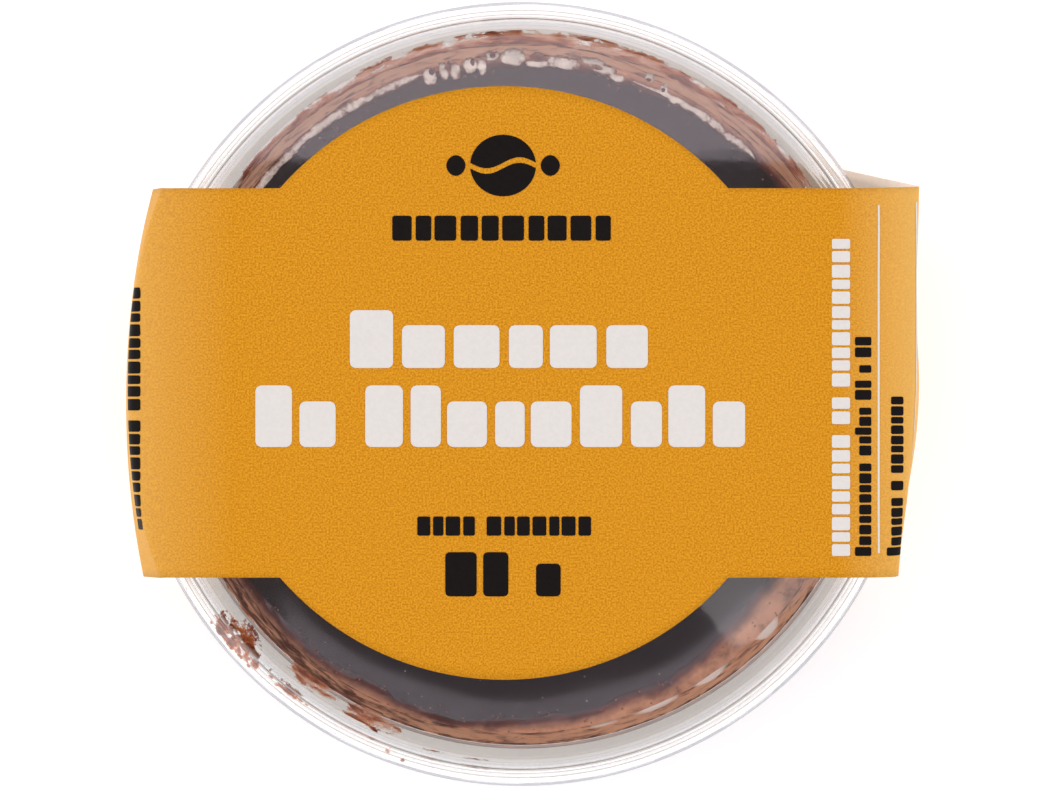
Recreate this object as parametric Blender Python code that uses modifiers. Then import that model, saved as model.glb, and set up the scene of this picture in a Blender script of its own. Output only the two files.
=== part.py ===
"""A single portion of chocolate mousse in a clear pot, with a clear press-on lid and a printed card sleeve.

Units are metres and +Z is up. The origin is on the ground, under the centre of the pot. The sleeve is a
closed loop of card that runs along X: over the lid, down both sides, and under the pot, which stands on it.
"""
from math import acos, cos, hypot, pi, radians, sin, sqrt

import bmesh
import bpy
from mathutils import Vector

NAME = "mousse_pot"
GAP = 0.0003  # between two pieces that touch
TURN_STEPS = 60  # facets round each turned piece
SHARP_ANGLE = radians(35)

# Sleeve
CARD = 0.0003  # thickness of the card
BAND_WIDTH = 0.0404  # along Y
BAND_CENTRE_Y = 0.00115
ROUND_RADIUS = 0.0308  # the top panel widens to a disc of this radius
ROUND_CENTRE_X = -0.0018
BASE_FOLD_X = 0.0319  # half the length of the bottom panel
BASE_FOLD_BOW = 0.0004  # how far its folds bow out in the middle of the band
BULGE_BELOW_TOP = 0.0058  # how far below the top panel the side panels stand out most
SIDE_SKEW = 0.0030  # how far the right side panel leans towards +Y at its foot
CREASE_SETBACK = 0.0006  # how far from the left crease the card begins to bend
FOLD_SETBACKS = (0.0016, 0.0014)  # the same at the right fold, on the top panel and on the side panel
BULGE_SETBACKS = (0.0015, 0.0080)  # the same at the fullest line of a side panel, above and below it
BASE_SETBACK = 0.0008  # the same at the ends of the bottom panel
BULGE_ALLOWANCE = 0.0002  # the left side panel's corner lies outside its soft bend by this much
PANEL_BAND = 0.0010  # card nearer than this to the top or to the ground belongs to that panel
ROWS = 8  # faces across the band

# Pot
POT_WALL = 0.00045
POT_FOOT_Z = CARD + GAP
POT_TOP_Z = POT_FOOT_Z + 0.0380
MOUTH_RADIUS = 0.03940  # inside, at the rim
RIM_RADIUS = 0.03995  # outside
RIM_DEPTH = 0.0007  # height of the rim bead
NECK_DEPTH = 0.0009  # from the top down to where the wall goes on below the bead
SHOULDER_TOP = (0.0381, 0.0320)  # the stacking shoulder, inside: radius and height above the foot
SHOULDER_FOOT = (0.0369, 0.0309)
SHOULDER_FILLETS = (0.0012, 0.0006)
HEEL_RADIUS = 0.0301
HEEL_RISE = 0.0006
HEEL_FILLET = 0.0026
FOOT_RING_RADIUS = 0.0265
RECESS_RADIUS = 0.0250
RECESS_DEPTH = 0.0011

# Lid
LID_SHEET = 0.0003
LID_TOP_Z = POT_TOP_Z + GAP + LID_SHEET
PANEL_RADIUS = 0.0383  # of the sunk middle panel
PANEL_DEPTH = 0.0032
PANEL_FILLET = 0.0006
CREST_RADII = (0.03895, 0.0402)  # inner and outer edge of the flat crest that caps the rim
CREST_CORNER = 0.00015  # the crest's outer corner lies outside its fillet by this much
CREST_FILLET = 0.0004
SKIRT_RADIUS = 0.04080
SKIRT_DEPTH = 0.0046
LID_RADIUS = 0.0410  # outer edge of the turned-out hem
HEM_DROP = 0.0001
HEM_DEPTH = 0.0004

# Filling
MOUSSE_LEVEL_Z = 0.0264  # at the middle of its surface
MOUSSE_EDGE_RISE = 0.0007  # how far it climbs the wall
MOUSSE_EDGE_SHARPNESS = 14  # the climb grows with this power of the distance from the middle
SURFACE_RINGS = (0.85, 0.92, 0.96, 0.985)  # where its curve is cut, as shares of its radius

TOP_Z = LID_TOP_Z + GAP + CARD / 2  # middle of the card of the flat top panel


def clear_scene():
    for ob in list(bpy.data.objects):
        bpy.data.objects.remove(ob, do_unlink=True)


def new_collection(name):
    collection = bpy.data.collections.new(name)
    bpy.context.scene.collection.children.link(collection)
    return collection


def material(name, colour, roughness, transmission=0.0, ior=1.5):
    """A Principled material. Colour is linear RGB."""
    mat = bpy.data.materials.new(name)
    mat.use_nodes = True
    shader = mat.node_tree.nodes["Principled BSDF"]
    shader.inputs["Base Color"].default_value = (*colour, 1)
    shader.inputs["Roughness"].default_value = roughness
    shader.inputs["Metallic"].default_value = 0.0
    shader.inputs["Transmission Weight"].default_value = transmission
    shader.inputs["IOR"].default_value = ior
    mat.diffuse_color = (*colour, 0.3 if transmission else 1.0)
    return mat


def rounded(corners, arc_points=3):
    """Points along a line through (x, z, fillet) corners, each fillet an arc of arc_points points."""
    points = []
    for i, (x, z, fillet) in enumerate(corners):
        here = Vector((x, z))
        if fillet == 0 or i in (0, len(corners) - 1):
            points.append(here)
            continue
        back = (Vector(corners[i - 1][:2]) - here).normalized()
        ahead = (Vector(corners[i + 1][:2]) - here).normalized()
        half = acos(max(-1.0, min(1.0, back.dot(ahead)))) / 2
        centre = here + (back + ahead).normalized() * (fillet / sin(half))
        sweep = pi - 2 * half
        start = here + back * (fillet * cos(half) / sin(half)) - centre
        turn = 1 if back.x * ahead.y - back.y * ahead.x < 0 else -1
        for k in range(arc_points):
            a = turn * sweep * k / (arc_points - 1)
            spoke = (start.x * cos(a) - start.y * sin(a), start.x * sin(a) + start.y * cos(a))
            points.append(centre + Vector(spoke))
    return points


def offset(points, distance):
    """The line moved sideways by distance, to the left of its direction. A point on the axis stays on it."""
    moved = []
    for i, p in enumerate(points):
        normals = []
        for a, b in ((i - 1, i), (i, i + 1)):
            if a >= 0 and b < len(points):
                run = (points[b] - points[a]).normalized()
                normals.append(Vector((-run.y, run.x)))
        normal = sum(normals, Vector((0, 0))).normalized()
        stretch = 1 / max(0.4, normal.dot(normals[0]))
        q = p + normal * distance * stretch
        moved.append(Vector((0.0, q.y)) if p.x < 1e-6 else q)
    return moved


def turned(name, profile, mat, collection):
    """A solid turned from a profile of (radius, z) points whose two ends are on the axis."""
    mesh = bpy.data.meshes.new(name)
    mesh.from_pydata([(p.x, 0, p.y) for p in profile], [(i, i + 1) for i in range(len(profile) - 1)], [])
    ob = bpy.data.objects.new(name, mesh)
    collection.objects.link(ob)
    mesh.materials.append(mat)
    screw = ob.modifiers.new("Turn", "SCREW")
    screw.axis = "Z"
    screw.angle = 2 * pi
    screw.steps = TURN_STEPS
    screw.render_steps = TURN_STEPS
    screw.use_merge_vertices = True
    screw.merge_threshold = 1e-6
    screw.use_smooth_shade = True
    return ob


def pot_outer_line():
    """The pot's outside, from under the rim bead down to the middle of the base."""
    wall = POT_WALL
    foot = POT_FOOT_Z
    return rounded([
        (MOUTH_RADIUS + wall, POT_TOP_Z - NECK_DEPTH, 0),
        (SHOULDER_TOP[0] + wall, foot + SHOULDER_TOP[1], SHOULDER_FILLETS[0]),
        (SHOULDER_FOOT[0] + wall, foot + SHOULDER_FOOT[1], SHOULDER_FILLETS[1]),
        (HEEL_RADIUS + wall, foot + HEEL_RISE, HEEL_FILLET),
        (FOOT_RING_RADIUS, foot, 0),
        (RECESS_RADIUS, foot + RECESS_DEPTH, 0),
        (0.0, foot + RECESS_DEPTH, 0),
    ])


def pot_inner_line():
    """The pot's inside, from the middle of its floor up to the mouth."""
    return offset(pot_outer_line(), -POT_WALL)[::-1]


def make_pot(mat, collection):
    inner = pot_inner_line()
    rim = [
        Vector((MOUTH_RADIUS, POT_TOP_Z)),
        Vector((RIM_RADIUS, POT_TOP_Z)),
        Vector((RIM_RADIUS, POT_TOP_Z - RIM_DEPTH)),
    ]
    return turned("tub", inner + rim + pot_outer_line(), mat, collection)


def lid_top_line():
    """The lid's upper face, from its middle out over the crest and down the skirt to the hem."""
    return rounded([
        (0.0, LID_TOP_Z - PANEL_DEPTH, 0),
        (PANEL_RADIUS, LID_TOP_Z - PANEL_DEPTH, PANEL_FILLET),
        (CREST_RADII[0], LID_TOP_Z, CREST_FILLET),
        (CREST_RADII[1] + CREST_CORNER, LID_TOP_Z, CREST_FILLET),
        (SKIRT_RADIUS, LID_TOP_Z - SKIRT_DEPTH, 0),
        (LID_RADIUS, LID_TOP_Z - SKIRT_DEPTH - HEM_DROP, 0),
    ])


def make_lid(mat, collection):
    top = lid_top_line()
    under = offset(top[:-1], -LID_SHEET)[::-1]
    hem = [Vector((LID_RADIUS, LID_TOP_Z - SKIRT_DEPTH - HEM_DEPTH))]
    return turned("lid", top + hem + under, mat, collection)


def mousse_surface_height(r, edge_radius):
    """The filling's surface is flat and curls up where it clings to the wall."""
    return MOUSSE_LEVEL_Z + MOUSSE_EDGE_RISE * (r / edge_radius) ** MOUSSE_EDGE_SHARPNESS


def make_mousse(mat, collection):
    """The filling, a gap clear of the pot all round, up to the level that the pot is filled to."""
    side = offset(pot_inner_line(), GAP)
    top = MOUSSE_LEVEL_Z + MOUSSE_EDGE_RISE
    below = [p for p in side if p.y < top]
    last, above = below[-1], side[len(below)]
    edge = last.lerp(above, (top - last.y) / (above.y - last.y))
    rings = [edge.x * share for share in SURFACE_RINGS]
    surface = [Vector((0.0, MOUSSE_LEVEL_Z))]
    surface += [Vector((r, mousse_surface_height(r, edge.x))) for r in rings]
    return turned("mousse", surface + [edge] + below[::-1], mat, collection)


def left_outline(y):
    """How far the left side panel stands out, where it stands out most."""
    return -(0.04155 - 6.5 * (y + 0.001) ** 2)


def right_outline(y):
    """How far the right side panel stands out, where it stands out most."""
    return 0.04165 + 0.022 * y - 4.5 * min(y, 0.0) ** 2


def left_crease(y):
    """The fold between the top panel and the left side panel, soft at the corners of the card."""
    return -(0.04075 - 0.0028 * (y / 0.0205) ** 4)


def top_panel_height(x, y):
    """The top panel is flat on the lid's crest and droops past it."""
    past = max(0.0, hypot(x, y) - CREST_RADII[1])
    return TOP_Z - 0.10 * past - 30 * past ** 2


def base_fold(y):
    """The folds at the ends of the bottom panel bow out a little between the corners of the card."""
    return BASE_FOLD_X - BASE_FOLD_BOW * (2 * (y - BAND_CENTRE_Y) / BAND_WIDTH) ** 2


def between(a, b, share):
    return a + (b - a) * share


def bend(before, corner, after, setback_before, setback_after, count):
    """Points of a soft bend at a corner, starting and ending a setback away from it."""
    start = corner + (before - corner).normalized() * setback_before
    end = corner + (after - corner).normalized() * setback_after
    points = []
    for k in range(count):
        t = k / (count - 1)
        points.append(start * (1 - t) ** 2 + corner * (2 * t * (1 - t)) + end * t ** 2)
    return points


def band_edge_x():
    """Where the widened disc meets the straight edges of the band, from the disc's centre."""
    return sqrt(ROUND_RADIUS ** 2 - (BAND_WIDTH / 2) ** 2)


def disc_columns(count=15):
    """Places along X across the widened disc, closer together near its ends."""
    reach = band_edge_x()
    start = acos(reach / ROUND_RADIUS)
    angles = [between(pi - start, start, k / (count - 1)) for k in range(count)]
    return [ROUND_CENTRE_X + ROUND_RADIUS * cos(a) for a in angles]


def card_section(y):
    """The middle line of the card as (x, z) points, once round the pot from the left crease, at a place y
    across the band."""
    lid_reach = sqrt(max(0.0, (LID_RADIUS + GAP + CARD) ** 2 - y ** 2))
    low = CARD / 2
    bulge_z = TOP_Z - BULGE_BELOW_TOP
    crease = Vector((left_crease(y), top_panel_height(left_crease(y), y)))
    right_x = right_outline(y)
    fold = Vector((right_x, top_panel_height(right_x, y)))
    foot_right = Vector((base_fold(y), low))
    foot_left = Vector((-base_fold(y), low))
    fall = (fold.y - bulge_z) / (fold.y - low)
    straight = between(fold.x, foot_right.x, fall)
    bulge_right = Vector((max(straight, min(lid_reach, right_x)), bulge_z))
    bulge_left = Vector((left_outline(y) - BULGE_ALLOWANCE, bulge_z))
    before_fold = right_x - FOLD_SETBACKS[0]

    left_bend = bend(foot_left, bulge_left, crease, BULGE_SETBACKS[1], BULGE_SETBACKS[0], 6)
    top_left = bend(bulge_left, crease, fold, CREASE_SETBACK, CREASE_SETBACK, 4)
    right_start = Vector((before_fold, top_panel_height(before_fold, y)))
    top_right = bend(right_start, fold, bulge_right, *FOLD_SETBACKS, 5)
    right_bend = bend(fold, bulge_right, foot_right, *BULGE_SETBACKS, 6)
    base_right = bend(bulge_right, foot_right, foot_left, BASE_SETBACK, BASE_SETBACK, 3)
    base_left = bend(foot_right, foot_left, bulge_left, BASE_SETBACK, BASE_SETBACK, 3)

    across = disc_columns()
    across = [between(top_left[-1].x, across[0], k / 3) for k in (1, 2)] + across
    across += [between(across[-1], top_right[0].x, k / 5) for k in (1, 2, 3, 4)]
    top = [Vector((x, top_panel_height(x, y))) for x in across]
    base = [foot_right.lerp(foot_left, k / 4) for k in (1, 2, 3)]
    return top_left + top + top_right + right_bend + base_right + base + base_left + left_bend


def card_lean(x, z):
    """How far the card is shifted towards +Y: the right side panel leans, and the bottom evens it out."""
    if z < PANEL_BAND:
        part = (x + BASE_FOLD_X) / (2 * BASE_FOLD_X)
    else:
        part = (TOP_Z - z) / TOP_Z if x > 0 else 0.0
    return SIDE_SKEW * min(1.0, max(0.0, part))


def half_width(x, on_top):
    """Half the card's width at x: the band's, or the disc's where that is wider."""
    reach = ROUND_RADIUS ** 2 - (x - ROUND_CENTRE_X) ** 2
    return max(BAND_WIDTH / 2, sqrt(reach)) if on_top and reach > 0 else BAND_WIDTH / 2


def make_sleeve(mat, collection):
    """A flat grid bent round the pot: its columns run once round the loop, and its rows across the band."""
    middle = card_section(0.0)
    columns = len(middle)
    bm = bmesh.new()
    bmesh.ops.create_grid(bm, x_segments=columns, y_segments=ROWS, size=1.0)
    for vert in bm.verts:
        column = round((vert.co.x + 1) / 2 * columns) % columns
        place = middle[column]
        y = BAND_CENTRE_Y + vert.co.y * half_width(place.x, on_top=place.y > TOP_Z - PANEL_BAND)
        point = card_section(y)[column]
        vert.co = (point.x, y + card_lean(point.x, point.y), point.y)
    bmesh.ops.remove_doubles(bm, verts=bm.verts, dist=1e-6)
    bmesh.ops.recalc_face_normals(bm, faces=bm.faces)
    mesh = bpy.data.meshes.new("sleeve")
    bm.to_mesh(mesh)
    bm.free()
    mesh.materials.append(mat)
    mesh.shade_smooth()
    mesh.set_sharp_from_angle(angle=SHARP_ANGLE)
    ob = bpy.data.objects.new("sleeve", mesh)
    collection.objects.link(ob)
    solid = ob.modifiers.new("Card", "SOLIDIFY")
    solid.thickness = CARD
    solid.offset = 0.0
    solid.use_even_offset = True
    return ob


def main():
    clear_scene()
    collection = new_collection(NAME)
    clear = material("clear_plastic", (0.93, 0.94, 0.95), 0.05, transmission=0.9)
    chocolate = material("mousse", (0.060, 0.024, 0.014), 0.35)
    card = material("printed_card", (0.74, 0.33, 0.022), 0.55)
    make_pot(clear, collection)
    make_lid(clear, collection)
    make_mousse(chocolate, collection)
    make_sleeve(card, collection)


if __name__ == "__main__":
    main()
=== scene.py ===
"""Looks of a sealed pot of chocolate mousse: clear pot and lid, mousse, foam, smears and printed card."""
from math import acos, cos, hypot, pi, radians, sin, sqrt

import bmesh
import bpy
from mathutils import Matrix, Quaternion, Vector, noise


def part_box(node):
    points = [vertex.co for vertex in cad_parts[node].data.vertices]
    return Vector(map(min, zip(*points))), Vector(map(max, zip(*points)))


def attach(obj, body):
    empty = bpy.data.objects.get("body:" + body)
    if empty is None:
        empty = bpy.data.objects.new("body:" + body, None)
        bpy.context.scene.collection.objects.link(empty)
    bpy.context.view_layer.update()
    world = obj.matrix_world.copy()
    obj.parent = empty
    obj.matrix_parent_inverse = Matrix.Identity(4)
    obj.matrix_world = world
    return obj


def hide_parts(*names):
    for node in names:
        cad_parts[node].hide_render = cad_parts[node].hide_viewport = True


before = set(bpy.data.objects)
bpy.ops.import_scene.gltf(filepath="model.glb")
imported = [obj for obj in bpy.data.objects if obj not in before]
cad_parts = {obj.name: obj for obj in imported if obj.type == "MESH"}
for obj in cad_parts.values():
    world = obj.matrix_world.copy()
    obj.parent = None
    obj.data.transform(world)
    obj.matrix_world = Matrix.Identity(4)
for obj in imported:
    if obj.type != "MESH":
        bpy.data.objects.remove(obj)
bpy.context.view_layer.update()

bl_info = {
    "name": "Mousse Pot",
    "version": (1, 0, 0),
    "blender": (4, 5, 0),
    "location": "View3D > Sidebar > Mousse Pot",
    "description": "Builds a sealed pot of chocolate mousse in a printed card sleeve",
    "category": "Add Mesh",
}

MM = 0.001
FULL_TURN = 2 * pi
SHARP_ANGLE = radians(38)
LID_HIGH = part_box("lid")[1]
TUB_LOW, TUB_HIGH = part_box("tub")
CARD_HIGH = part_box("sleeve")[1]
CARD_TOP_MIDDLE = CARD_HIGH.z - 0.15 * MM   # middle of the card's thickness, where it lies on the lid
WALL_MEAN_RADIUS = 36 * MM                  # turns an angle into a length round the wall


# ---------------------------------------------------------------- sizes and colours

def length(name, text, default):
    return bpy.props.FloatProperty(name=name, description=text, default=default, precision=5,
                                   subtype="DISTANCE", unit="LENGTH")


def count(name, text, default):
    return bpy.props.IntProperty(name=name, description=text, default=default, min=1)


def colour(name, text, default):
    return bpy.props.FloatVectorProperty(name=name, description=text, default=default, size=3, min=0.0, max=1.0,
                                         subtype="COLOR")


class PotSizes(bpy.types.PropertyGroup):
    wall: length("Wall", "Thickness of the pot's sheet", 0.45 * MM)
    mouth_radius: length("Mouth radius", "Inside radius at the rim", 39.40 * MM)
    rim_radius: length("Rim radius", "Outside radius of the rim bead", TUB_HIGH.x)
    shoulder_top_radius: length("Shoulder top radius", "Inside radius at the top of the shoulder", 38.1 * MM)
    shoulder_foot_radius: length("Shoulder foot radius", "Inside radius where the taper begins", 36.9 * MM)
    shoulder_top: length("Shoulder top", "Height of the top of the shoulder above the foot", 32.0 * MM)
    shoulder_foot: length("Shoulder foot", "Height of the foot of the shoulder above the foot", 30.9 * MM)
    heel_radius: length("Heel radius", "Inside radius where the wall turns into the base", 30.1 * MM)
    foot_radius: length("Foot radius", "Radius of the ring the pot stands on", 26.5 * MM)
    recess_radius: length("Recess radius", "Radius of the raised middle of the base", 25.0 * MM)
    recess_depth: length("Recess depth", "How far the middle of the base is raised", 1.1 * MM)
    steps: count("Steps", "Facets round the pot and the lid", 288)


class LidSizes(bpy.types.PropertyGroup):
    sheet: length("Sheet", "Thickness of the lid", 0.3 * MM)
    panel_radius: length("Panel radius", "Radius of the sunk middle panel", 38.3 * MM)
    panel_depth: length("Panel depth", "How far the panel is sunk below the crest", 3.2 * MM)
    crest_inner: length("Crest inner radius", "Where the crest begins", 38.95 * MM)
    crest_outer: length("Crest outer radius", "Where the crest turns down into the skirt", 40.35 * MM)
    skirt_radius: length("Skirt radius", "Radius at the foot of the skirt", 40.80 * MM)
    skirt_depth: length("Skirt depth", "Height of the skirt", 4.6 * MM)
    snap_count: count("Snaps", "Short beads pressed into the skirt", 18)
    snap_depth: length("Snap depth", "How far each bead is pressed in", 0.16 * MM)


class MousseSizes(bpy.types.PropertyGroup):
    level: length("Level", "Height of the middle of the surface", 26.4 * MM)
    edge_rise: length("Edge rise", "How far the edge climbs the wall", 0.7 * MM)
    into_wall: length("Into the wall", "How far the filling reaches into the pot's wall", 0.15 * MM)
    # Dark, warm and foam are partly painted light: painted shade darkens the middle, and painted backlight
    # brightens the foam edge.
    dark: colour("Dark", "Smooth middle of the surface", (0.014, 0.0062, 0.0060))
    warm: colour("Warm", "Where the smooth middle meets the foam", (0.15, 0.036, 0.020))
    foam: colour("Foam", "Fine foam at the edge", (0.74, 0.385, 0.230))
    streak: colour("Streak", "Darker streaks in what dried on the wall", (0.30, 0.105, 0.055))
    film_back: colour("Film back", "Foam film as seen through the wall", (0.23, 0.105, 0.066))
    # colour of the thin dark brown line in the groove below the shoulder
    groove_line: colour("Dregs", "Residue in the groove below the shoulder", (0.33, 0.090, 0.020))
    # painted highlight: the pale patches on the wall stand for light reflected off it
    wall_highlight: colour("Gleam", "Pale brushed patches on the wall", (0.86, 0.80, 0.76))
    # painted highlight: the pale tone of the wet drops and ridges stands for light reflected off them
    wet_highlight: colour("Cream", "Pale wet drops at the edge", (0.90, 0.79, 0.71))
    crust_thin: colour("Thin crust", "Thinnest foam on the shoulder", (0.70, 0.42, 0.29))
    crust: colour("Crust", "Foam dried on the shoulder", (0.50, 0.175, 0.075))
    crust_thick: colour("Thick crust", "Thickest foam on the shoulder", (0.21, 0.042, 0.014))
    smear_thin: colour("Thin smear", "Thinnest smears between the lid and the rim", (0.52, 0.14, 0.010))
    smear: colour("Smear", "Dried smears between the lid and the rim", (0.27, 0.045, 0.001))
    smear_thick: colour("Thick smear", "Thickest smears between the lid and the rim", (0.07, 0.007, 0.001))
    side: colour("Side", "Mousse against the clear wall", (0.115, 0.046, 0.026))
    dust: colour("Dust", "Specks on the smooth middle", (0.62, 0.58, 0.56))


class CardSizes(bpy.types.PropertyGroup):
    card: length("Card", "Thickness of the card", 0.3 * MM)
    band_width: length("Band width", "Width of the loop", 40.4 * MM)
    band_centre: length("Band centre", "Middle of the band along Y", 1.15 * MM)
    round_radius: length("Disc radius", "Radius of the widened top panel", 30.8 * MM)
    round_centre: length("Disc centre", "Centre of the disc along X", -1.8 * MM)
    base_fold: length("Base fold", "Half the length of the bottom panel", 31.9 * MM)
    base_bow: length("Base bow", "How far the bottom panel's folds bow out", 0.4 * MM)
    bulge_below: length("Bulge", "How far below the top the side panels stand out most", 5.8 * MM)
    skew: length("Skew", "How far the right side panel leans at its foot", 4.2 * MM)
    rows: count("Rows", "Rows of faces across the band", 44)
    orange: colour("Orange", "Printed ground of the card", (0.63, 0.262, 0.0060))
    # painted sheen: the print is paler near both ends, where the bends catch the light
    painted_sheen: colour("Worn", "Printed ground where the bends catch the light", (0.82, 0.49, 0.135))
    inside: colour("Inside", "Unprinted side of the card", (0.84, 0.70, 0.57))
    white: colour("White ink", "Light print", (0.70, 0.68, 0.64))
    black: colour("Black ink", "Dark print", (0.008, 0.006, 0.0055))


class StageSizes(bpy.types.PropertyGroup):
    floor_size: length("Floor", "Side of the floor", 3.0)
    camera_height: length("Camera height", "Height of the camera above the floor", 0.6846)
    camera_offset: length("Camera offset", "Camera's place along X", 0.58 * MM)
    lens: bpy.props.FloatProperty(name="Lens", description="Focal length in millimetres", default=212.3)


# ---------------------------------------------------------------- mesh helpers

def between(a, b, part):
    return a + (b - a) * part


def smooth_step(low, high, value):
    """0 up to low and 1 from high on, with an even rise between them. It falls where high is below low."""
    t = max(0.0, min(1.0, (value - low) / (high - low)))
    return t * t * (3 - 2 * t)


def rounded(corners, arc_points=7):
    """Points along a line through (radius, z, fillet) corners, each fillet an arc."""
    points = []
    for i, (x, z, fillet) in enumerate(corners):
        here = Vector((x, z))
        if fillet == 0 or i in (0, len(corners) - 1):
            points.append(here)
            continue
        back = (Vector(corners[i - 1][:2]) - here).normalized()
        ahead = (Vector(corners[i + 1][:2]) - here).normalized()
        half = acos(max(-1.0, min(1.0, back.dot(ahead)))) / 2
        centre = here + (back + ahead).normalized() * (fillet / sin(half))
        sweep = pi - 2 * half
        start = here + back * (fillet * cos(half) / sin(half)) - centre
        turn = 1 if back.x * ahead.y - back.y * ahead.x < 0 else -1
        for k in range(arc_points):
            a = turn * sweep * k / (arc_points - 1)
            spoke = Vector((start.x * cos(a) - start.y * sin(a), start.x * sin(a) + start.y * cos(a)))
            points.append(centre + spoke)
    return points


def offset(points, distance):
    """The line moved sideways by distance, to the left of its direction. A point on the axis stays on it."""
    moved = []
    for i, p in enumerate(points):
        normals = []
        for a, b in ((i - 1, i), (i, i + 1)):
            if a >= 0 and b < len(points):
                run = (points[b] - points[a]).normalized()
                normals.append(Vector((-run.y, run.x)))
        normal = sum(normals, Vector((0, 0))).normalized()
        q = p + normal * distance / max(0.4, normal.dot(normals[0]))
        moved.append(Vector((0.0, q.y)) if p.x < 1e-6 else q)
    return moved


def divided(points, longest):
    """The line with its long stretches cut into pieces no longer than longest."""
    fine = [points[0]]
    for p in points[1:]:
        last = fine[-1]
        parts = max(1, int((p - last).length / longest + 0.999))
        fine += [last.lerp(p, k / parts) for k in range(1, parts + 1)]
    return fine


def new_object(name, mesh, materials):
    """A smooth-shaded object with sharp creases kept, in the scene."""
    ob = bpy.data.objects.new(name, mesh)
    bpy.context.scene.collection.objects.link(ob)
    for mat in materials:
        mesh.materials.append(mat)
    mesh.shade_smooth()
    mesh.set_sharp_from_angle(angle=SHARP_ANGLE)
    return ob


def turned_mesh(name, profile, steps, shape=None):
    """A closed mesh turned from (radius, z) points. shape(angle, radius, z) may move each point."""
    bm = bmesh.new()
    rings = []
    for p in profile:
        if p.x < 1e-7:
            rings.append([bm.verts.new((0, 0, p.y))])
            continue
        ring = []
        for k in range(steps):
            angle = FULL_TURN * k / steps
            r, z = shape(angle, p.x, p.y) if shape else (p.x, p.y)
            ring.append(bm.verts.new((r * cos(angle), r * sin(angle), z)))
        rings.append(ring)
    for low, high in zip(rings, rings[1:]):
        for k in range(steps):
            after = (k + 1) % steps
            corners = [low[k % len(low)], high[k % len(high)], high[after % len(high)], low[after % len(low)]]
            bm.faces.new(list(dict.fromkeys(corners)))
    bmesh.ops.recalc_face_normals(bm, faces=bm.faces)
    mesh = bpy.data.meshes.new(name)
    bm.to_mesh(mesh)
    bm.free()
    return mesh


def plain_mesh(ob):
    """The object with its modifiers made part of its mesh."""
    bpy.context.view_layer.update()
    mesh = bpy.data.meshes.new_from_object(ob.evaluated_get(bpy.context.evaluated_depsgraph_get()))
    ob.modifiers.clear()
    ob.data = mesh
    return ob


def place(ob, node=None):
    """Hands a finished piece over: it rides on root, and may replace a node of the CAD."""
    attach(ob, "root")
    if node:
        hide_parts(node)


# ---------------------------------------------------------------- material helpers

def new_material(name):
    """A material with its Principled shader and its tree."""
    mat = bpy.data.materials.new(name)
    mat.use_nodes = True
    return mat, mat.node_tree, mat.node_tree.nodes["Principled BSDF"]


def add(tree, kind, **settings):
    """A node, with its settings and its inputs' values by name."""
    node = tree.nodes.new(kind)
    for name, value in settings.pop("inputs", {}).items():
        node.inputs[name].default_value = value
    for name, value in settings.items():
        setattr(node, name, value)
    return node


def object_place(tree):
    return tree.nodes.new("ShaderNodeTexCoord").outputs["Object"]


def noise_at(tree, place_socket, scale, detail=3.0, roughness=0.55, distortion=0.0):
    node = add(tree, "ShaderNodeTexNoise",
               inputs={"Scale": scale, "Detail": detail, "Roughness": roughness, "Distortion": distortion})
    tree.links.new(place_socket, node.inputs["Vector"])
    return node.outputs["Fac"]


def maths(tree, operation, a, b=None):
    node = add(tree, "ShaderNodeMath", operation=operation)
    for socket, value in zip(node.inputs, (a, b)):
        if isinstance(value, (int, float)):
            socket.default_value = value
        elif value is not None:
            tree.links.new(value, socket)
    return node.outputs[0]


def ramp(tree, factor, stops):
    """A colour ramp. Each stop is (position, colour or grey)."""
    node = tree.nodes.new("ShaderNodeValToRGB")
    elements = node.color_ramp.elements
    while len(elements) < len(stops):
        elements.new(0.5)
    for element, (position, value) in zip(elements, stops):
        element.position = position
        element.color = (*((value,) * 3 if isinstance(value, (int, float)) else value), 1)
    tree.links.new(factor, node.inputs["Fac"])
    return node.outputs["Color"]


def blend_colours(tree, factor, a, b):
    node = add(tree, "ShaderNodeMix", data_type="RGBA")
    if isinstance(factor, (int, float)):
        node.inputs["Factor"].default_value = factor
    else:
        tree.links.new(factor, node.inputs["Factor"])
    for index, value in ((6, a), (7, b)):
        if isinstance(value, bpy.types.NodeSocket):
            tree.links.new(value, node.inputs[index])
        else:
            node.inputs[index].default_value = (*value, 1)
    return node.outputs[2]


def bump(tree, shader, height, distance, strength=1.0):
    node = add(tree, "ShaderNodeBump", inputs={"Distance": distance, "Strength": strength})
    tree.links.new(height, node.inputs["Height"])
    tree.links.new(node.outputs["Normal"], shader.inputs["Normal"])


def set_inputs(shader, **values):
    for name, value in values.items():
        shader.inputs[name.replace("_", " ")].default_value = value


def clear_plastic(name, tint=(1.0, 1.0, 1.0), coat=0.0, roughness=0.0, waviness=0.1, bend=1.2, painted_glow=0.0):
    """Thin clear plastic, with faint waves left by forming. The coat gives a flat panel its reflections, and
    bend is the index of refraction. The emission is a painted glow that brightens the pieces given it, such as
    the rim, the crest and the shoulder fillet."""
    mat, tree, shader = new_material(name)
    set_inputs(shader, Base_Color=(*tint, 1), Roughness=roughness, IOR=bend, Transmission_Weight=1.0,
               Coat_Weight=coat, Coat_IOR=1.5, Coat_Roughness=0.02,
               Emission_Color=(1, 1, 1, 1), Emission_Strength=painted_glow)
    waves = noise_at(tree, object_place(tree), 90.0, 2.0)
    bump(tree, shader, waves, 0.06 * MM, waviness)
    return mat


# ---------------------------------------------------------------- pot and lid

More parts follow.
